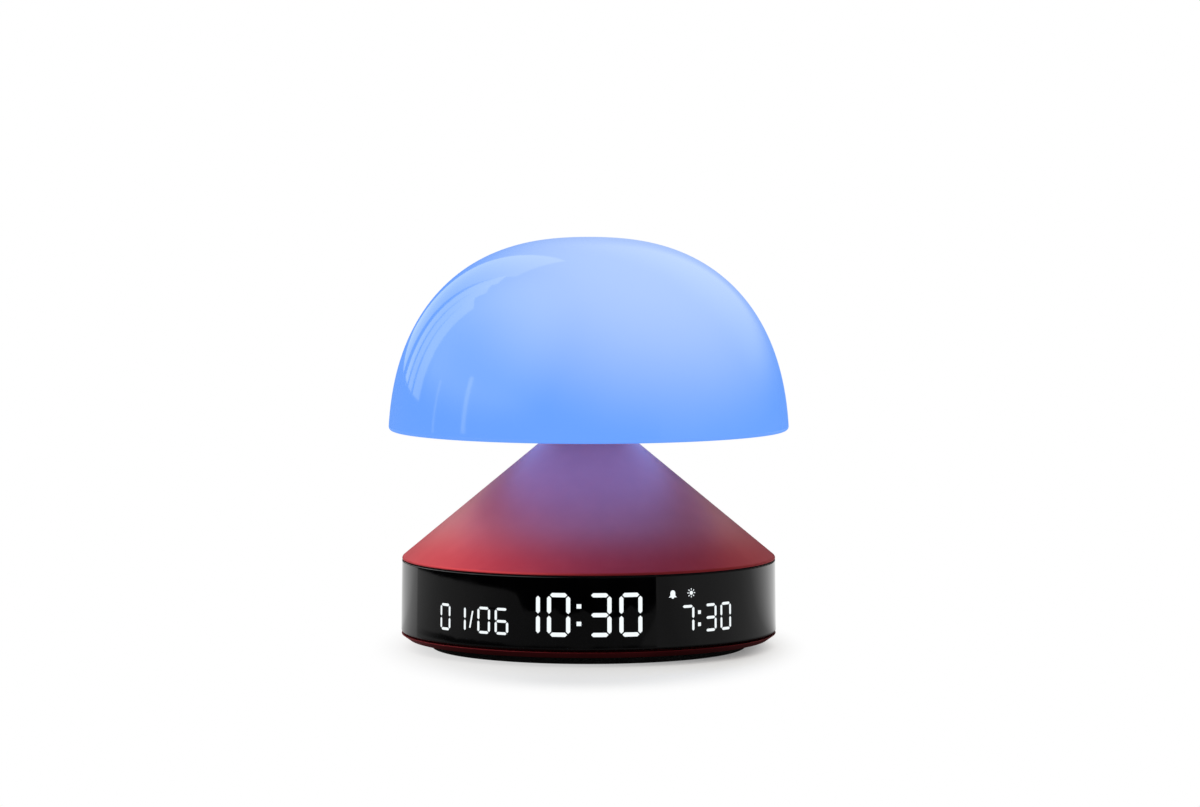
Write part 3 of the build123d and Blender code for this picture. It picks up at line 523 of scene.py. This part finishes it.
def plainBoards():  # the lamps sit on white boards, the rest on a green one
    return {
        "white_board": circuitBoard(
            "whiteBoard", mask=(0.82, 0.83, 0.82), track=(0.90, 0.91, 0.90), ring=(0.80, 0.66, 0.36)
        ),
        "green_board": circuitBoard(
            "greenBoard", mask=(0.018, 0.16, 0.07), track=(0.04, 0.30, 0.13), ring=(0.78, 0.60, 0.28)
        ),
    }


def plastics():
    return {
        "black_plastic": moulded(
            "blackPlastic", (0.020, 0.020, 0.022), roughness=0.55, grainSize=0.22, grainDepth=0.012
        ),
        "white_plastic": moulded(
            "whitePlastic", (0.78, 0.78, 0.75), roughness=0.50, grainSize=0.30, grainDepth=0.006, spread=0.05
        ),
        "chip_black": moulded(
            "chipBlack", (0.030, 0.030, 0.033), roughness=0.50, grainSize=0.10, grainDepth=0.008
        ),
        "capacitor_tan": moulded(
            "capacitorTan", (0.62, 0.42, 0.18), roughness=0.40, grainSize=0.15, grainDepth=0.004
        ),
    }


def metals():
    return {
        "dark_metal": brushed(
            "darkMetal", (0.10, 0.10, 0.11), roughness=0.35, size=0.12, stretch=(1, 1, 6)
        ),
        "steel": brushed(
            "steel", (0.60, 0.61, 0.63), roughness=0.30, size=0.15, stretch=(1, 1, 5)
        ),
        "bright_steel": brushed(
            "brightSteel", (0.76, 0.77, 0.78), roughness=0.18, size=0.2, stretch=(1, 4, 1)
        ),
        "magnet_grey": brushed(
            "magnetGrey", (0.24, 0.24, 0.25), roughness=0.38, size=0.2, stretch=(1, 1, 3)
        ),
    }


def softParts():
    return {
        "speaker_paper": fibres("speakerPaper", (0.035, 0.035, 0.038), size=0.5, depth=0.03, roughness=0.85),
        "foam_grey": fibres("foamGrey", (0.07, 0.07, 0.075), size=0.35, depth=0.08, roughness=0.95),
        "battery_wrap": wrapped("batteryWrap", (0.10, 0.20, 0.50), size=2.5, stretch=(1, 1, 3)),
        "red_wire": wrapped("redWire", (0.62, 0.03, 0.02), size=0.6, stretch=(1, 1, 2)),
        "grey_wire": wrapped("greyWire", (0.30, 0.30, 0.32), size=0.6, stretch=(1, 1, 2)),
    }


finishes = {
    "opal_shade": opalShade(shadeLook),
    "opal_diffuser": opalDiffuser(diffuserLook),
    "red_aluminium": redAluminium("redAluminium", coneLook),
    "gloss_black": glossBlack(bandLook),
    "lit_white": litWhite(figureLook),
    "black_rubber": blackRubber(rubberLook),
    "key_plastic": keyPlastic(keyLook),
    "led_package": ledPackage(ledLook),
    **plainBoards(),
    **plastics(),
    **metals(),
    **softParts(),
}

for entry in frame["record"]["subparts"]:
    part = frame["nodes"][entry["node"]]
    for holder in part.material_slots:
        holder.material = finishes[entry["material_slot"]]
print("finishes:", len(finishes))


turning = {
    "steps": 192,
    "roundSteps": 6,
    "smoothUpTo": radians(40),
    "mergeWithin": 1e-6,
    "onAxisWithin": 1e-9,
}


# Turns an outline of (radius, height) points in mm. rounds gives some corners a radius, by number.
def turned(name, outline, rounds, node, body, slot):
    shape = bmesh.new()
    corners = [shape.verts.new((r * mm, 0, z * mm)) for r, z in outline]
    shape.faces.new(corners)
    points = [Vector(point) for point in outline]
    for i, size in rounds.items():
        before, after = points[i - 1] - points[i], points[(i + 1) % len(points)] - points[i]
        offset = size * mm / tan(before.angle(after) / 2)
        bmesh.ops.bevel(
            shape, geom=[corners[i]], offset=offset, offset_type="OFFSET", affect="VERTICES",
            segments=turning["roundSteps"], profile=0.5, material=-1, clamp_overlap=False,
        )
    bmesh.ops.delete(shape, geom=shape.faces[:], context="FACES_ONLY")
    within = turning["onAxisWithin"]
    onAxis = [edge for edge in shape.edges if all(abs(v.co.x) < within for v in edge.verts)]
    bmesh.ops.delete(shape, geom=onAxis, context="EDGES")
    bmesh.ops.spin(
        shape, geom=shape.verts[:] + shape.edges[:], cent=(0, 0, 0), axis=(0, 0, 1),
        angle=2 * pi, steps=turning["steps"], use_merge=True, use_duplicate=False,
    )
    return finished(name, shape, node, body, slot)


def finished(name, shape, node, body, slot):
    bmesh.ops.remove_doubles(shape, verts=shape.verts[:], dist=turning["mergeWithin"])
    bmesh.ops.recalc_face_normals(shape, faces=shape.faces[:])
    data = bpy.data.meshes.new(name)
    shape.to_mesh(data)
    shape.free()
    data.polygons.foreach_set("use_smooth", [True] * len(data.polygons))
    data.set_sharp_from_angle(angle=turning["smoothUpTo"])
    data.materials.append(finishes[slot])
    piece = bpy.data.objects.new(name, data)
    bpy.context.collection.objects.link(piece)
    piece.modifiers.new("evenNormals", "WEIGHTED_NORMAL").keep_sharp = True
    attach(piece, body)
    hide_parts(node)
    return piece


shade = {
    "halfWidth": 57.65,
    "bellyHeight": 54.13,  # where the curve would be widest, under the rim
    "rise": 63.59,
    "fullness": 2.415,  # 2 is an ellipse, more is squarer
    "wall": 2.2,
    "rimHeight": 62.5,
    "seatRadius": 55.45,
    "seatHeight": 67.6,
    "rimRound": 1.05,
    "innerRound": 0.4,
    "points": 44,
}


def shadeCurve(fromHeight, inset):  # from a height up to the axis
    power = 2 / shade["fullness"]
    width, reach = shade["halfWidth"] - inset, shade["rise"] - inset
    first = asin(((fromHeight - shade["bellyHeight"]) / reach) ** (1 / power))
    curve = []
    for i in range(shade["points"]):
        t = first + (pi / 2 - first) * i / shade["points"]
        curve.append((width * cos(t) ** power, shade["bellyHeight"] + reach * sin(t) ** power))
    return curve + [(0.0, shade["bellyHeight"] + reach)]


outer = shadeCurve(shade["rimHeight"], 0)
inner = shadeCurve(shade["seatHeight"], shade["wall"])
shadeOutline = [(shade["seatRadius"], shade["rimHeight"])] + outer + inner[::-1]
shadeOutline.append((shade["seatRadius"], shade["seatHeight"]))
turned(
    "domeShade", shadeOutline, {0: shade["innerRound"], 1: shade["rimRound"]},
    "shade_dome", "head", "opal_shade",
)

cone = {
    "footRadius": 53.6,
    "footHeight": 25.6,
    "land": 0.5,
    "neckRadius": 9.6,
    "neckHeight": 62.5,
    "bore": 7.25,
    "wall": 1.2,
    "slope": radians(39.6),
    "lip": 2.0,
    "footRound": 0.08,
    "edgeRound": 0.85,
    "neckRound": 0.6,
}


def coneOutline():
    drop = cone["wall"] / cos(cone["slope"])
    roofHeight = cone["neckHeight"] - cone["wall"]
    edgeHeight = cone["footHeight"] + cone["land"]
    roofRadius = cone["footRadius"] - (roofHeight + drop - edgeHeight) / tan(cone["slope"])
    lipRadius = cone["footRadius"] - cone["lip"]
    return [
        (lipRadius, cone["footHeight"]),
        (cone["footRadius"], cone["footHeight"]),
        (cone["footRadius"], edgeHeight),
        (cone["neckRadius"], cone["neckHeight"]),
        (cone["bore"], cone["neckHeight"]),
        (cone["bore"], roofHeight),
        (roofRadius, roofHeight),
        (lipRadius, edgeHeight + cone["lip"] * tan(cone["slope"]) - drop),
    ]


turned(
    "redCone", coneOutline(), {1: cone["footRound"], 2: cone["edgeRound"], 3: cone["neckRound"]},
    "cone_shell", "base", "red_aluminium",
)

ring = {
    "bore": 42.0,
    "rebate": 44.45,
    "rebateHeight": 3.4,
    "seatRadius": 46.4,  # the flat that the foot and the cover lie on
    "seatHeight": 1.9,
    "lowRadius": 51.6,
    "lowHeight": 2.5,
    "highRadius": 53.8,
    "highHeight": 4.05,
    "land": 0.15,
    "gapRadius": 51.0,  # a dark gap is left under the band
    "topHeight": 4.6,
    "lowRound": 0.2,
    "highRound": 0.1,
    "landRound": 0.06,
}
ringOutline = [
    (ring["bore"], ring["rebateHeight"]),
    (ring["rebate"], ring["rebateHeight"]),
    (ring["rebate"], ring["seatHeight"]),
    (ring["seatRadius"], ring["seatHeight"]),
    (ring["seatRadius"], ring["lowHeight"]),
    (ring["lowRadius"], ring["lowHeight"]),
    (ring["highRadius"], ring["highHeight"]),
    (ring["highRadius"], ring["highHeight"] + ring["land"]),
    (ring["gapRadius"], ring["highHeight"] + ring["land"]),
    (ring["gapRadius"], ring["topHeight"]),
    (ring["bore"], ring["topHeight"]),
]
redRing = turned(
    "redBaseRing", ringOutline, {5: ring["lowRound"], 6: ring["highRound"], 7: ring["landRound"]},
    "base_ring", "base", "red_aluminium",
)
# the ring gets the red painted darker, as painted shade
redRing.data.materials[0] = redAluminium("shadedRedAluminium", shadedRingLook)

foot = {"innerRadius": 34.0, "outerRadius": 45.2, "height": 1.9, "round": 0.4, "groove": 1.6, "depth": 0.4}


def footOutline():
    middle = (foot["innerRadius"] + foot["outerRadius"]) / 2
    outline = [(foot["innerRadius"], foot["height"]), (foot["innerRadius"], 0)]
    for side in (-1, 1):  # two grooves in the underside
        centre = middle + side * 1.5 * foot["groove"]
        low, high = centre - foot["groove"] / 2, centre + foot["groove"] / 2
        outline += [(low, 0), (low, foot["depth"]), (high, foot["depth"]), (high, 0)]
    return outline + [(foot["outerRadius"], 0), (foot["outerRadius"], foot["height"])]


turned(
    "rubberFoot", footOutline(), {1: foot["round"], 10: foot["round"]},
    "rubber_foot", "base", "black_rubber",
)
print("turned pieces made")


# The glow is what the floor shows in gloss, by direction and by distance from the clock.
floorLook = {
    "radius": 0.60,
    "colour": (0.92, 0.905, 0.865),
    "stretch": (1.8, 0.95),  # the shadow is a narrow one, long toward the front
    "whiteFrom": 0.078,  # distances from the clock's axis between which it turns to plain white
    "whiteTo": 0.115,
    "haze": 0.72,  # the level that the shadow is lightened to
    "hazeLeft": 0.16,
    "hazeLeftFrom": -50 * mm,
    "hazeFrom": 0.085,
    "hazeTo": 0.12,
    "lift": 0.75,  # how far the shadow is lightened on the left, and on the right
    "liftRight": 0.30,
    "liftFrom": -10 * mm,
    "liftTo": 45 * mm,
    # gloss by direction, from straight behind the clock (0) to straight in front (1)
    "leftGlow": [
        (0.0, 1.05), (0.06, 0.85), (0.22, 0.39), (0.32, 0.32), (0.45, 0.26),
        (0.60, 0.235), (0.73, 0.19), (0.85, 0.13), (1.0, 0.09),
    ],
    "rightGlow": [
        (0.0, 1.05), (0.14, 1.05), (0.22, 0.83), (0.34, 0.41), (0.44, 0.32),
        (0.67, 0.28), (0.78, 0.28), (0.86, 0.21),
    ],
    "cardStart": (19.1 * mm, -50.3 * mm),  # the right-hand gloss begins on a line from here
    "cardSide": (0.748, 0.664),
    "stripStart": (-50.4 * mm, -23.4 * mm),  # and a brighter strip on the left begins on this one
    "stripSide": (0.653, 0.757),
    "stripFrom": -1 * mm,
    "stripTo": 4 * mm,
    "stripGain": 0.7,
    "stripBackFrom": 0.04,
    "stripBackTo": 0.22,
    # gloss near the clock in front on the left, by distance from its axis, as a share of the floor's radius
    "nearGlow": [
        (0.073, 0.0), (0.086, 0.3), (0.104, 0.8), (0.127, 1.0),
        (0.160, 1.0), (0.169, 0.15), (0.187, 0.15), (0.197, 1.0),
    ],
    "frontFrom": 0.35,
    "frontTo": 0.65,
    # how far the gloss reaches on the left, by direction, as a share of the floor's radius
    "reach": [
        (0.0, 1.0), (0.12, 1.0), (0.2, 0.504), (0.55, 0.522),
        (0.84, 0.522), (0.88, 0.49), (0.905, 0.40), (1.0, 0.385),
    ],
    "contactShadowFrom": 44 * mm,  # the gloss is painted dark near the clock's foot, as a painted contact shadow
    "contactShadowTo": 56 * mm,
    "contactShadowToRight": 80 * mm,
}


def turnAhead(y, radius):  # 0 straight behind the clock, 1 straight in front
    return 0.5 - y / radius * 0.5


def pastLine(x, y, start, side):
    return (x - start[0]) * side[0] + (y - start[1]) * side[1]


def floorGloss(paint, x, y, radius):
    look = floorLook
    ahead = turnAhead(y, radius)
    share = radius / look["radius"]
    front = paint.rise(ahead, look["frontFrom"], look["frontTo"])
    strip = pastLine(x, y, look["stripStart"], look["stripSide"])
    strip = paint.rise(strip, look["stripFrom"], look["stripTo"])
    strip = strip * paint.rise(ahead, look["stripBackFrom"], look["stripBackTo"])
    near = paint.ramp(share, look["nearGlow"]) * front + (1 - front)
    near = near * (strip * look["stripGain"] + 1)
    near = near * (share < paint.ramp(ahead, look["reach"]))
    near = near * paint.rise(radius, look["contactShadowFrom"], look["contactShadowTo"])
    left = paint.ramp(ahead, look["leftGlow"]) * near
    right = paint.ramp(ahead, look["rightGlow"])
    right = right * paint.rise(radius, look["contactShadowFrom"], look["contactShadowToRight"])
    onRight = (pastLine(x, y, look["cardStart"], look["cardSide"]) > 0) * (x > 0)
    return paint.blend(onRight, left, right)


def paintFloor():
    look = floorLook
    paint = paintFor("paleFloor")
    x, y = paint.split(paint.place())[:2]
    radius = fromAxis(x, y)
    matt = paint.node("ShaderNodeBsdfDiffuse", None, {"Color": look["colour"]})
    level = look["haze"] + (1 - paint.rise(x, look["hazeLeftFrom"], 0)) * look["hazeLeft"]
    haze = paint.glow(paint.blend(level, black, white))
    onLeft = 1 - paint.rise(x, look["liftFrom"], look["liftTo"])
    lift = onLeft * (look["lift"] - look["liftRight"]) + look["liftRight"]
    lift = lift * (1 - paint.rise(radius, look["hazeFrom"], look["hazeTo"]))
    wide, long = look["stretch"]
    distance = (x * x * wide**2 + y * y * long**2) ** 0.5
    plain = paint.rise(distance, look["whiteFrom"], look["whiteTo"])
    seen = paint.mixShaders(lift * paint.ray("Camera"), matt, haze)
    seen = paint.mixShaders(plain * paint.ray("Camera"), seen, paint.glow(white))
    seen = paint.mixShaders(paint.ray("Glossy"), seen, paint.glow(floorGloss(paint, x, y, radius)))
    paint.node("ShaderNodeOutputMaterial", None, {0: seen})
    return paint.owner


def layFloor():
    shape = bmesh.new()
    bmesh.ops.create_circle(shape, cap_ends=True, segments=128, radius=floorLook["radius"])
    data = bpy.data.meshes.new("floor")
    shape.to_mesh(data)
    shape.free()
    data.materials.append(paintFloor())
    disc = bpy.data.objects.new("floor", data)
    bpy.context.collection.objects.link(disc)


layFloor()
print("floor laid")

studio = {
    "ambient": 0.62,
    "softSide": (0.42, -0.45, 0.78),  # the side that the soft light comes from
    "softEdge": (0.1, 1.0),
    "softLight": 0.75,
    "upperGloss": 0.08,
    # glows in the upper half: their side, where they begin and are full, and how strong they are
    "glows": [
        ((0.45, 0.34, 0.83), (0.5, 1.0), 0.12),
        ((-0.84, -0.15, 0.50), (0.56, 0.95), 1.28),
        ((0.5, 0.78, 0.36), (0.80, 1.0), 0.42),
    ],
    # the walls by direction, from straight behind the clock (0) to straight in front (1)
    "leftWall": [(0.0, 0.10), (0.3, 0.08), (0.6, 0.03), (1.0, 0.02)],
    "rightWall": [(0.0, 0.10), (0.1, 0.08), (0.3, 0.10), (0.72, 0.28), (0.86, 0.21)],
    "wallEdge": (0.06, 0.30),
    "leastRadius": 0.0001,  # straight up has no direction
    "cardEdge": 0.748,
    "backSide": (0, 1, 0.05),  # nothing shows in gloss straight behind the clock
    "backEdge": (0.90, 0.99),
    "backColour": (0.09, 0.10, 0.11),
}


def lightStudio():
    world = bpy.data.worlds.new("studio")
    bpy.context.scene.world = world
    paint = Paint(world)
    way = paint.node("ShaderNodeTexCoord", output="Generated")
    x, y, z = paint.split(way)
    ahead = turnAhead(y, fromAxis(x, y) + studio["leastRadius"])
    onRight = (x > 0) * (ahead < 0.5 + studio["cardEdge"] / 2)
    wall = paint.blend(onRight, paint.ramp(ahead, studio["leftWall"]), paint.ramp(ahead, studio["rightWall"]))
    overhead = studio["upperGloss"]
    for side, edge, strength in studio["glows"]:
        overhead = paint.rise(paint.aim(way, side), *edge) * strength + overhead
    gloss = paint.blend(paint.rise(z, *studio["wallEdge"]), wall, overhead)
    back = paint.rise(paint.aim(way, studio["backSide"]), *studio["backEdge"])
    gloss = paint.blend(back, gloss, studio["backColour"])
    soft = paint.rise(paint.aim(way, studio["softSide"]), *studio["softEdge"]) * studio["softLight"]
    light = paint.blend(paint.ray("Diffuse"), gloss, soft + studio["ambient"])
    light = paint.blend(paint.ray("Camera"), light, white)
    room = paint.node("ShaderNodeBackground", None, {"Color": light, "Strength": 1.0})
    paint.node("ShaderNodeOutputWorld", None, {0: room})


lightStudio()

# panes of the window, and two thin gaps of daylight: (from, to) in degrees left of straight back, then up
windowPanes = {
    "paneA": ((14, 36), (5, 56), 0.52),
    "paneB": ((39, 46), (6, 50), 0.85),
    "paneC": ((47, 54), (6, 47), 0.8),
    "paneD": ((55, 65), (6, 42), 0.85),
    "gapA": ((80.5, 82.2), (0, 15), 0.75),
    "gapB": ((103.5, 106.5), (2, 21), 1.35),
}
windowAway = 1.2
windowCentre = Vector((0, 0, 0.06))
wattsPerRadiance = 4  # of an area lamp of one square metre


def hangPane(name, across, up, radiance):
    turn, lift = radians(sum(across) / 2), radians(sum(up) / 2)
    way = Vector((-sin(turn) * cos(lift), cos(turn) * cos(lift), sin(lift)))
    light = bpy.data.lights.new(name, "AREA")
    light.shape = "RECTANGLE"
    light.size = 2 * windowAway * tan(radians(across[1] - across[0]) / 2) * cos(lift)
    light.size_y = 2 * windowAway * tan(radians(up[1] - up[0]) / 2)
    light.energy = wattsPerRadiance * radiance * light.size * light.size_y
    lamp = bpy.data.objects.new(name, light)
    lamp.location = windowCentre + way * windowAway
    lamp.rotation_euler = way.to_track_quat("Z", "Y").to_euler()
    lamp.visible_camera = False
    bpy.context.collection.objects.link(lamp)


for name, (across, up, radiance) in windowPanes.items():
    hangPane(name, across, up, radiance)

view = {
    "place": (0.00325, -1.45, 0.16602),
    "down": 3.79,  # degrees below level
    "lens": 151.83,
    "sensor": 36,
    "nearest": 0.05,
    "farthest": 20,
}
camera = bpy.data.objects.new("camera", bpy.data.cameras.new("camera"))
camera.location = view["place"]
camera.rotation_euler = (radians(90 - view["down"]), 0, 0)
camera.data.lens = view["lens"]
camera.data.sensor_width = view["sensor"]
camera.data.clip_start = view["nearest"]
camera.data.clip_end = view["farthest"]
bpy.context.collection.objects.link(camera)
bpy.context.scene.camera = camera
bpy.context.scene.view_settings.view_transform = "Standard"
print("studio lit, camera set")
